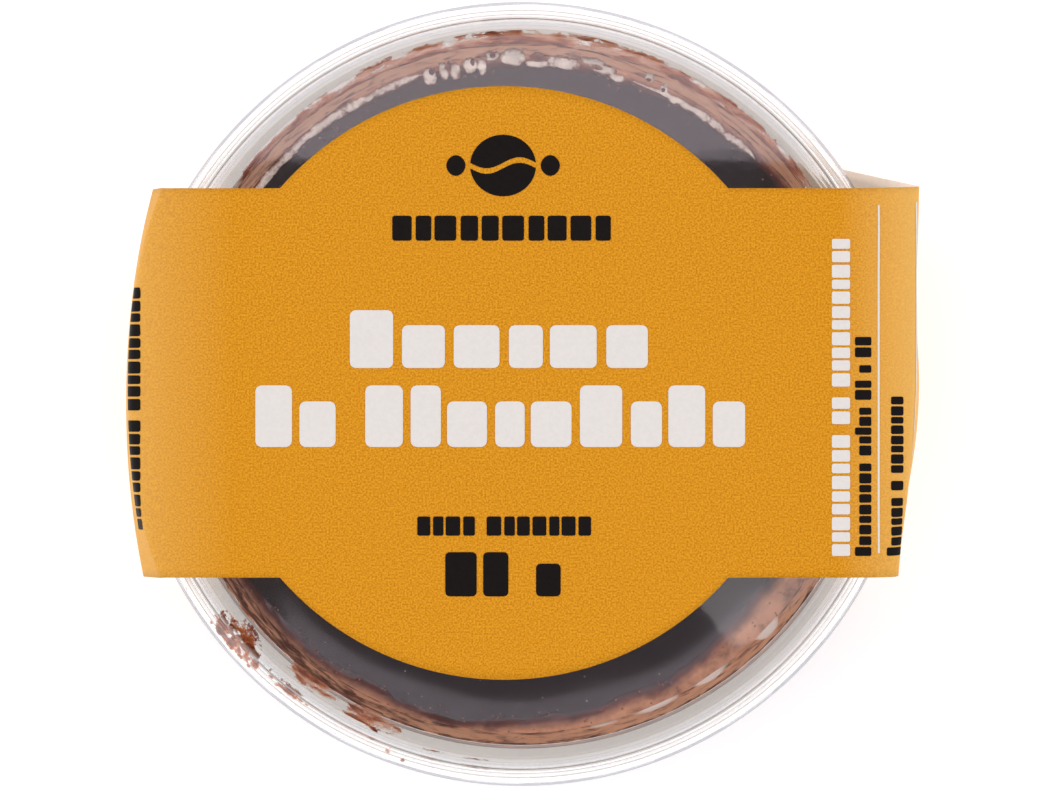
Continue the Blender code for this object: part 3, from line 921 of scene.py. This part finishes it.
class MOUSSEPOT_OT_bubbles(bpy.types.Operator):
    """Fine bubbles in the mousse against the wall and in its foam, darkened with painted shade, and dust on its
    smooth middle
    """
    bl_idname = "mousse_pot.bubbles"
    bl_label = "Bubbles and dust"

    def execute(self, context):
        sizes = context.scene.mousse_filling
        body = bpy.data.objects["chocolate_mousse"].data
        side = part_of_mesh(body, lambda c: 1.5 * MM < c.z < sizes.level)
        foam = part_of_mesh(body, lambda c: c.z > sizes.level - 0.1 * MM and hypot(c.x, c.y) > 33.6 * MM)
        middle = part_of_mesh(body, lambda c: c.z > sizes.level - 0.2 * MM and hypot(c.x, c.y) < 34.2 * MM)
        # Both bubble tones are darker than the mousse around them: painted shade that stands for the shaded
        # insides of the bubbles.
        bubble_shade = plain_material("bubble_painted_shade", tuple(0.45 * c for c in sizes.side), 0.35)
        foam_pit_shade = plain_material("foam_bubble_painted_shade", sizes.streak, 0.3)
        dust = plain_material("dust", sizes.dust, 0.7)
        for name, base, mat, settings in (
            ("side_bubbles", side, bubble_shade,
             {"Density": 2.6e5, "Smallest": 0.05 * MM, "Largest": 0.26 * MM, "Flatness": 0.22, "Seed": 4}),
            ("foam_bubbles", foam, foam_pit_shade,
             {"Density": 7.0e5, "Smallest": 0.03 * MM, "Largest": 0.13 * MM, "Flatness": 0.5, "Seed": 7}),
            ("dust_specks", middle, dust,
             {"Density": 4.2e4, "Smallest": 0.018 * MM, "Largest": 0.055 * MM, "Flatness": 0.6, "Seed": 12}),
        ):
            place(scattered(name, base, mat, **settings))
        return {"FINISHED"}


# ---------------------------------------------------------------- card sleeve

def left_outline(y):
    """X where the left side panel stands out most. It is bowed, so it stands out less at its ends."""
    return -(41.35 * MM - 4.9 * (y + 1.75 * MM) ** 2)


def right_fold(y):
    """X where the right side panel folds down. The fold runs a little askew, more so in its front half."""
    return 40.75 * MM + 0.040 * max(y, 0.0) + 0.075 * min(y, 0.0)


def left_crease(y):
    """X where the left side panel folds down. The crease comes in at both corners of the card."""
    past = y - 1.0 * MM
    return -(40.6 * MM - 6.2 * past ** 2 - 5100 * past ** 4)


def base_fold(card, y):
    """The folds at the ends of the bottom panel bow out a little between the corners of the card."""
    return card.base_fold - card.base_bow * (2 * (y - card.band_centre) / card.band_width) ** 2


def top_panel_height(x, y):
    """The top panel is flat on the lid's crest and droops past it."""
    past = max(0.0, hypot(x, y) - 40.2 * MM)
    return CARD_TOP_MIDDLE - 0.10 * past - 30 * past ** 2


def bend(before, corner, after, setback_before, setback_after, points):
    """A soft bend at a corner, starting and ending a setback away from it."""
    start = corner + (before - corner).normalized() * setback_before
    end = corner + (after - corner).normalized() * setback_after
    ts = [k / (points - 1) for k in range(points)]
    return [start * (1 - t) ** 2 + corner * (2 * t * (1 - t)) + end * t ** 2 for t in ts]


def line_to(a, b, parts):
    """Points strictly between a and b."""
    return [a.lerp(b, k / parts) for k in range(1, parts)]


def half_width(card, x, on_top):
    """Half the card's width at a place along it. The top panel widens to a disc."""
    reach = card.round_radius ** 2 - (x - card.round_centre) ** 2
    wide = sqrt(reach) if on_top and reach > 0 else 0.0
    return max(card.band_width / 2, wide)


def card_section(card, y):
    """The card's middle line once round the pot as (x, z) points, from the tucked end under the pot, up the
    left side, over the top, and down to the outer end."""
    reach = sqrt(max(0.0, (LID_HIGH.x + 0.6 * MM) ** 2 - y ** 2))
    low = card.card / 2
    bulge_z = CARD_TOP_MIDDLE - card.bulge_below
    left, right = left_crease(y), right_fold(y)
    crease = Vector((left, top_panel_height(left, y)))
    fold = Vector((right, top_panel_height(right, y)))
    foot_right, foot_left = Vector((base_fold(card, y), low)), Vector((-base_fold(card, y), low))
    fall = (fold.y - bulge_z) / (fold.y - low)
    bulge_right = Vector((max(between(fold.x, foot_right.x, fall), reach), bulge_z))
    bulge_left = Vector((left_outline(y), bulge_z))
    # the left bend is sharp at the card's corners and soft between them
    soft = 0.3 * MM + 1.5 * MM * max(0.0, 1 - ((y - 1.0 * MM) / (18 * MM)) ** 2)
    # the tucked end lies on the outer end, with a film of glue between them
    lifted = low + card.card + 0.04 * MM
    tuck = [Vector((5.0 * MM, lifted)), Vector((-7.0 * MM, lifted)), Vector((-11.0 * MM, low))]

    points = [tuck[0]] + line_to(tuck[0], tuck[1], 4) + bend(tuck[0], tuck[1], tuck[2], MM, MM, 4)
    points += bend(tuck[1], tuck[2], foot_left, MM, MM, 4) + line_to(tuck[2], foot_left, 5)
    points += bend(foot_right, foot_left, bulge_left, 0.8 * MM, 0.8 * MM, 7)
    left_side = bend(foot_left, bulge_left, crease, 8 * MM, 1.5 * MM, 16)
    points += line_to(points[-1], left_side[0], 12) + left_side
    top_left = bend(bulge_left, crease, fold, soft, soft, 9)
    points += line_to(points[-1], top_left[0], 3) + top_left
    before_fold = right - 1.6 * MM
    top_right = bend(Vector((before_fold, top_panel_height(before_fold, y))), fold, bulge_right,
                     1.6 * MM, 1.4 * MM, 13)
    start = acos(sqrt(card.round_radius ** 2 - (card.band_width / 2) ** 2) / card.round_radius)
    disc = [card.round_centre + card.round_radius * cos(between(pi - start, start, k / 40)) for k in range(41)]
    across = [between(top_left[-1].x, disc[0], k / 10) for k in range(1, 10)] + disc
    across += [between(disc[-1], top_right[0].x, k / 12) for k in range(1, 12)]
    points += [Vector((x, top_panel_height(x, y))) for x in across] + top_right
    right_side = bend(fold, bulge_right, foot_right, 1.5 * MM, 8 * MM, 16)
    points += line_to(points[-1], right_side[0], 3) + right_side
    base_right = bend(bulge_right, foot_right, foot_left, 0.8 * MM, 0.8 * MM, 7)
    points += line_to(points[-1], base_right[0], 12) + base_right
    end = Vector((-6.0 * MM, low))
    return points + line_to(points[-1], end, 6) + [end]


def card_lean(card, x, z):
    """How far the card is shifted towards +Y: the right side panel leans, and the bottom panel evens it out."""
    if z < 1.0 * MM:
        return card.skew * max(0.0, min(1.0, (x + card.base_fold) / (2 * card.base_fold)))
    return card.skew * max(0.0, min(1.0, 1 - z / CARD_TOP_MIDDLE)) if x > 0 else 0.0


def measured_section(card, y):
    """The card's section, and the distance along it of each of its points from above the pot's centre."""
    line = card_section(card, y)
    total, along = 0.0, [0.0]
    for a, b in zip(line, line[1:]):
        total += (b - a).length
        along.append(total)
    top = next(i for i in range(len(line) - 1)
               if line[i].y > CARD_TOP_MIDDLE / 2 and line[i].x <= 0 < line[i + 1].x)
    zero = along[top] - line[top].x
    return line, [a - zero for a in along]


def card_point(card, sections, u, y, lift):
    """A point on the card's printed face, raised by lift: u is the distance along the card from above the
    pot's centre, and y the place across it. The sections measured so far are kept in a dictionary."""
    key = round(y, 5)
    if key not in sections:
        sections[key] = measured_section(card, key)
    line, along = sections[key]
    low, high = 0, len(along) - 1
    while high - low > 1:
        middle = (low + high) // 2
        low, high = (middle, high) if along[middle] <= u else (low, middle)
    a, b = line[low], line[high]
    run = (b - a).normalized()
    p = a.lerp(b, (u - along[low]) / max(along[high] - along[low], 1e-9))
    p = p + Vector((-run.y, run.x)) * (card.card / 2 + lift)
    return Vector((p.x, y + card_lean(card, p.x, p.y), p.y))


def printed_card(card):
    """Orange print with a fine paper grain and a satin varnish, painted paler towards both ends along X as a
    sheen where the bends catch the light.
    """
    mat, tree, shader = new_material("printed_card_face")
    here = object_place(tree)
    grain = noise_at(tree, here, 5200.0, 0.8, 0.5)
    darker = tuple(c * f for c, f in zip(card.orange, (0.78, 0.70, 0.25)))
    lighter = tuple(c * f for c, f in zip(card.orange, (1.20, 1.32, 2.6)))
    tone = ramp(tree, grain, [(0.32, darker), (0.50, card.orange), (0.68, lighter)])
    cloud = noise_at(tree, here, 60.0, 3.0)
    faded = tuple(min(1.0, c * 1.06 + 0.004) for c in card.orange)
    tone = blend_colours(tree, maths(tree, "MULTIPLY", cloud, 0.35), tone, faded)
    split = tree.nodes.new("ShaderNodeSeparateXYZ")
    tree.links.new(here, split.inputs[0])
    # Painted sheen: the print turns paler towards both ends along X, where the bends catch the light.
    painted_sheen = ramp(tree, maths(tree, "ADD", maths(tree, "MULTIPLY", split.outputs["X"], 10.0), 0.5),
                [(0.09, 0.50), (0.14, 0.24), (0.20, 0.0), (0.83, 0.0), (0.91, 0.70)])
    tree.links.new(blend_colours(tree, painted_sheen, tone, card.painted_sheen), shader.inputs["Base Color"])
    tree.links.new(ramp(tree, grain, [(0.3, 0.50), (0.7, 0.62)]), shader.inputs["Roughness"])
    set_inputs(shader, Specular_IOR_Level=0.12)
    bump(tree, shader, grain, 0.05 * MM, 0.8)
    return mat


def bare_card(name, tone, scale):
    """Unprinted board, with faint fibres. Its glow is painted light, which brightens the board where little
    light reaches it and stands for the light that thin board lets through.
    """
    mat, tree, shader = new_material(name)
    fibres = noise_at(tree, object_place(tree), scale, 5.0, 0.6, 1.5)
    paler = tuple(min(1.0, c * 1.12) for c in tone)
    colours = ramp(tree, fibres, [(0.3, tone), (0.7, paler)])
    tree.links.new(colours, shader.inputs["Base Color"])
    tree.links.new(colours, shader.inputs["Emission Color"])
    set_inputs(shader, Roughness=0.85, Emission_Strength=0.2)
    bump(tree, shader, fibres, 0.04 * MM, 0.4)
    return mat


class MOUSSEPOT_OT_sleeve(bpy.types.Operator):
    """Card loop round the pot, with a disc-shaped top panel and a glued overlap underneath"""
    bl_idname = "mousse_pot.sleeve"
    bl_label = "Sleeve"

    def execute(self, context):
        card = context.scene.mousse_card
        middle = card_section(card, card.band_centre)
        bm = bmesh.new()
        grid = []
        for i, spot in enumerate(middle):
            half = half_width(card, spot.x, on_top=spot.y > CARD_HIGH.z - 1.0 * MM)
            column = []
            for j in range(card.rows + 1):
                y = card.band_centre + half * (2 * j / card.rows - 1)
                p = card_section(card, y)[i]
                column.append(bm.verts.new((p.x, y + card_lean(card, p.x, p.y), p.y)))
            grid.append(column)
        for a, b in zip(grid, grid[1:]):
            for j in range(card.rows):
                bm.faces.new((a[j], b[j], b[j + 1], a[j + 1]))
        mesh = bpy.data.meshes.new("card_sleeve")
        bm.to_mesh(mesh)
        bm.free()
        edge = tuple(between(a, b, 0.35) for a, b in zip(card.inside, card.orange))
        inside_material = bare_card("card_inside", card.inside, 900.0)
        edge_material = bare_card("card_edge", edge, 2500.0)
        ob = new_object("card_sleeve", mesh, [printed_card(card), inside_material, edge_material])
        solid = ob.modifiers.new("Card", "SOLIDIFY")
        solid.thickness = card.card
        solid.offset = 0.0
        solid.use_even_offset = True
        solid.material_offset = 1
        solid.material_offset_rim = 2
        plain_mesh(ob)
        place(ob, "sleeve")
        return {"FINISHED"}


# ---------------------------------------------------------------- print

def patch(left, right, low, high, fineness=0.3 * MM):
    """A filled shape between two curves, low(x) and high(x), as columns of (x, y) points."""
    parts = max(10, int((right - left) / fineness))
    tallest = max(high(between(left, right, k / 8)) - low(between(left, right, k / 8)) for k in range(9))
    rows = max(2, int(tallest / fineness))
    columns = []
    for i in range(parts + 1):
        x = between(left, right, 0.5 - 0.5 * cos(pi * i / parts))
        columns.append([(x, between(low(x), high(x), j / rows)) for j in range(rows + 1)])
    return columns


def block(x, y, width, height, corner):
    """A rectangle with round corners, from its lower left corner."""
    corner = min(corner, width / 2, height / 2)

    def inset(at):
        into = max(0.0, x + corner - at, at - (x + width - corner))
        return corner - sqrt(max(0.0, corner ** 2 - into ** 2))

    return patch(x, x + width, lambda at: y + inset(at), lambda at: y + height - inset(at))


def words(left, right, base, tall, pattern):
    """A row of blocks that stands for a line of print. In the pattern, H is a tall block, o a low one, and a
    space a gap. The blocks' widths vary a little."""
    low_share, gap_share = 0.74, 0.17
    widths = [0.62 if c == " " else 1.0 + 0.18 * sin(2.3 * i + ord(c)) for i, c in enumerate(pattern)]
    unit = (right - left) / sum(widths)
    x, blocks = left, []
    for c, width in zip(pattern, widths):
        if c != " ":
            height = tall if c == "H" else tall * low_share
            blocks.append(block(x, base, unit * width * (1 - gap_share), height, tall * 0.10))
        x += unit * width
    return blocks


def upright(columns):
    """The shape turned to read from the bottom to the top."""
    return [[(-y, x) for x, y in column] for column in columns]


def shifted(columns, dx, dy):
    return [[(x + dx, y + dy) for x, y in column] for column in columns]


def upright_words(bottom, top, right, tall, pattern):
    return [shifted(upright(b), right, 0) for b in words(bottom, top, 0.0, tall, pattern)]


def cocoa_bean(x, y, width, height):
    """A plain bean with a curved slit, between two small dots."""
    a, b, slit = width * 0.29, height / 2, height * 0.045

    def bow(at):
        return y + height * 0.09 * sin(pi * (at - x) / a)

    def rim(at):
        return b * sqrt(max(0.0, 1 - ((at - x) / a) ** 2))

    upper = patch(x - a, x + a, lambda at: min(bow(at) + slit, y + rim(at)), lambda at: y + rim(at))
    lower = patch(x - a, x + a, lambda at: y - rim(at), lambda at: max(bow(at) - slit, y - rim(at)))
    dots = []
    for side in (-1, 1):
        root, tip = x + side * width * 0.33, x + side * width * 0.5
        left, right = min(root, tip), max(root, tip)

        def belly(at, left=left, right=right):
            return height * 0.17 * sqrt(max(0.0, sin(pi * (at - left) / (right - left))))

        dots.append(patch(left, right, lambda at, f=belly: y - f(at), lambda at, f=belly: y + f(at)))
    return [upper, lower] + dots


def ink_object(card, name, shapes, mat, lift):
    """All shapes of one ink as a thin layer on the card."""
    bm = bmesh.new()
    sections = {}
    for columns in shapes:
        grid = [[bm.verts.new(card_point(card, sections, x, y, lift)) for x, y in column] for column in columns]
        for a, b in zip(grid, grid[1:]):
            for j in range(len(a) - 1):
                bm.faces.new((a[j], b[j], b[j + 1], a[j + 1]))
    bmesh.ops.remove_doubles(bm, verts=bm.verts, dist=1e-7)
    bmesh.ops.dissolve_degenerate(bm, edges=bm.edges, dist=1e-7)
    mesh = bpy.data.meshes.new(name)
    bm.to_mesh(mesh)
    bm.free()
    return new_object(name, mesh, [mat])


def ink(name, tone, roughness):
    """Matt ink that lets a trace of the card's grain through."""
    mat, tree, shader = new_material(name)
    grain = noise_at(tree, object_place(tree), 2300.0, 2.0)
    paler = tuple(min(1.0, c * 1.04 + 0.001) for c in tone)
    tree.links.new(ramp(tree, grain, [(0.35, tone), (0.65, paler)]), shader.inputs["Base Color"])
    set_inputs(shader, Roughness=roughness, Specular_IOR_Level=0.05)
    bump(tree, shader, grain, 0.03 * MM, 0.4)
    return mat


class MOUSSEPOT_OT_print(bpy.types.Operator):
    """Plain blocks, rules and a bean emblem in place of the pack's print"""
    bl_idname = "mousse_pot.print"
    bl_label = "Print"

    def execute(self, context):
        card = context.scene.mousse_card
        white = words(-17.8 * MM, 14.0 * MM, 2.7 * MM, 6.0 * MM, "Hooooo")
        white += words(-27.6 * MM, -18.5 * MM, -5.5 * MM, 6.4 * MM, "Ho")
        white += words(-16.2 * MM, 23.9 * MM, -5.5 * MM, 6.4 * MM, "HHoooHoHo")
        white += upright_words(-16.8 * MM, 16.3 * MM, 34.1 * MM, 1.9 * MM, "HHHHHHHHH HH HHHHHHHHHHH")
        white += [block(36.95 * MM, -16.5 * MM, 0.22 * MM, 36.1 * MM, 0.05 * MM),
                  block(41.1 * MM, -12.0 * MM, 0.22 * MM, 31.8 * MM, 0.05 * MM)]
        black = words(-13.4 * MM, 9.6 * MM, 15.9 * MM, 2.6 * MM, "HHHHHHHHHH")
        black += words(-10.8 * MM, 7.5 * MM, -14.7 * MM, 2.0 * MM, "HHHH HHHHHHH")
        black += words(-7.9 * MM, 4.6 * MM, -21.0 * MM, 4.6 * MM, "HH o")
        black += cocoa_bean(-1.9 * MM, 23.7 * MM, 11.8 * MM, 6.4 * MM)
        black += upright_words(-16.8 * MM, 6.1 * MM, 36.3 * MM, 1.7 * MM, "Hoooooooo ooHoo HH o HH")
        black += upright_words(-16.8 * MM, -0.1 * MM, 39.6 * MM, 1.7 * MM, "Hooooo o oooooooo")
        black += upright_words(-14.1 * MM, 11.3 * MM, -39.5 * MM, 2.0 * MM, "HHHHHHHHH HHHHHHHHHH")
        for name, shapes, tone in (("print_white", white, card.white), ("print_black", black, card.black)):
            ob = ink_object(card, name, shapes, ink(name, tone, 0.5), 0.04 * MM)
            place(ob)
        return {"FINISHED"}


# ---------------------------------------------------------------- stage

class MOUSSEPOT_OT_stage(bpy.types.Operator):
    """White floor, soft studio light and the camera"""
    bl_idname = "mousse_pot.stage"
    bl_label = "Stage"

    def execute(self, context):
        stage = context.scene.mousse_stage
        self.make_floor(stage)
        self.make_sky(context)
        rosy, neutral = (1.0, 0.88, 0.96), (1.0, 0.96, 0.99)
        for name, spot, aim, size, radiance, turn, tint in (
            ("softbox_above", (0.0, 0.220, 1.25), (0.0, 0.220, 0.0), (1.0, 0.30), 2.6, 0, rosy),
            ("softbox_left", (-1.0, 0.10, 0.9), (0, 0, 0), (0.9, 0.9), 1.6, 0, neutral),
            ("softbox_right", (1.0, -0.1, 0.9), (0, 0, 0), (0.9, 0.9), 1.2, 0, neutral),
            ("window", (0.0734, -0.0550, 1.25), (0.0734, -0.0550, 0.0), (0.0201, 0.0431), 1.7, -49.6, neutral),
        ):
            self.make_light(name, spot, aim, size, radiance, radians(turn), tint)
        camera = bpy.data.objects.new("camera", bpy.data.cameras.new("camera"))
        context.scene.collection.objects.link(camera)
        camera.location = (stage.camera_offset, 0, stage.camera_height)
        camera.data.lens = stage.lens
        camera.data.clip_start = 0.01
        context.scene.camera = camera
        context.scene.view_settings.view_transform = "Standard"
        paths = context.scene.cycles
        paths.max_bounces = paths.glossy_bounces = paths.transmission_bounces = 32
        return {"FINISHED"}

    def make_floor(self, stage):
        bm = bmesh.new()
        bmesh.ops.create_grid(bm, x_segments=8, y_segments=8, size=stage.floor_size / 2)
        mesh = bpy.data.meshes.new("floor")
        bm.to_mesh(mesh)
        bm.free()
        mat, tree, shader = new_material("floor_white")
        tone = ramp(tree, noise_at(tree, object_place(tree), 3.0), [(0.0, 0.93), (1.0, 0.95)])
        tree.links.new(tone, shader.inputs["Base Color"])
        set_inputs(shader, Roughness=0.7, Emission_Color=(1, 1, 1, 1), Emission_Strength=0.30)
        new_object("floor", mesh, [mat])

    def make_sky(self, context):
        """Bright all round and dimmer straight above."""
        world = bpy.data.worlds.new("studio")
        context.scene.world = world
        world.use_nodes = True
        tree = world.node_tree
        split = tree.nodes.new("ShaderNodeSeparateXYZ")
        tree.links.new(tree.nodes.new("ShaderNodeTexCoord").outputs["Generated"], split.inputs[0])
        zenith = (0.41, 0.36, 0.40)
        tone = ramp(tree, split.outputs["Z"], [(0.0, 1.0), (0.70, 1.0), (0.95, zenith)])
        tree.links.new(tone, tree.nodes["Background"].inputs["Color"])
        tree.nodes["Background"].inputs["Strength"].default_value = 0.92

    def make_light(self, name, spot, aim, size, radiance, turn, tint):
        """A rectangular light as bright as its radiance says, turned about the line along which it shines."""
        data = bpy.data.lights.new(name, "AREA")
        data.shape = "RECTANGLE"
        data.size, data.size_y = size
        data.energy = radiance * pi * size[0] * size[1]
        data.color = tint
        light = bpy.data.objects.new(name, data)
        bpy.context.scene.collection.objects.link(light)
        light.location = spot
        facing = (Vector(aim) - Vector(spot)).to_track_quat("-Z", "Y")
        light.rotation_euler = (facing @ Quaternion((0, 0, 1), turn)).to_euler()


class MOUSSEPOT_PT_panel(bpy.types.Panel):
    """Lists the pieces of the mousse pot"""
    bl_label = "Mousse Pot"
    bl_idname = "MOUSSEPOT_PT_panel"
    bl_space_type = "VIEW_3D"
    bl_region_type = "UI"
    bl_category = "Mousse Pot"

    def draw(self, context):
        for group, kind in GROUPS:
            box = self.layout.box()
            for name in kind.__annotations__:
                box.prop(getattr(context.scene, group), name)
        for step in STEPS:
            self.layout.operator(step.bl_idname)


GROUPS = (("mousse_pot", PotSizes), ("mousse_lid", LidSizes), ("mousse_filling", MousseSizes),
          ("mousse_card", CardSizes), ("mousse_stage", StageSizes))
STEPS = (MOUSSEPOT_OT_stage, MOUSSEPOT_OT_tub, MOUSSEPOT_OT_lid, MOUSSEPOT_OT_mousse, MOUSSEPOT_OT_foam,
         MOUSSEPOT_OT_wet_edge, MOUSSEPOT_OT_smears, MOUSSEPOT_OT_bubbles, MOUSSEPOT_OT_sleeve,
         MOUSSEPOT_OT_print)


def register():
    for group, kind in GROUPS:
        bpy.utils.register_class(kind)
        setattr(bpy.types.Scene, group, bpy.props.PointerProperty(type=kind))
    for kind in (*STEPS, MOUSSEPOT_PT_panel):
        bpy.utils.register_class(kind)


def unregister():
    for kind in (MOUSSEPOT_PT_panel, *reversed(STEPS)):
        bpy.utils.unregister_class(kind)
    for group, kind in reversed(GROUPS):
        delattr(bpy.types.Scene, group)
        bpy.utils.unregister_class(kind)


def main():
    register()
    bpy.ops.mousse_pot.stage()
    bpy.ops.mousse_pot.tub()
    bpy.ops.mousse_pot.lid()
    bpy.ops.mousse_pot.mousse()
    bpy.ops.mousse_pot.foam()
    bpy.ops.mousse_pot.wet_edge()
    bpy.ops.mousse_pot.smears()
    bpy.ops.mousse_pot.bubbles()
    bpy.ops.mousse_pot.sleeve()
    bpy.ops.mousse_pot.print()


if __name__ == "__main__":
    main()
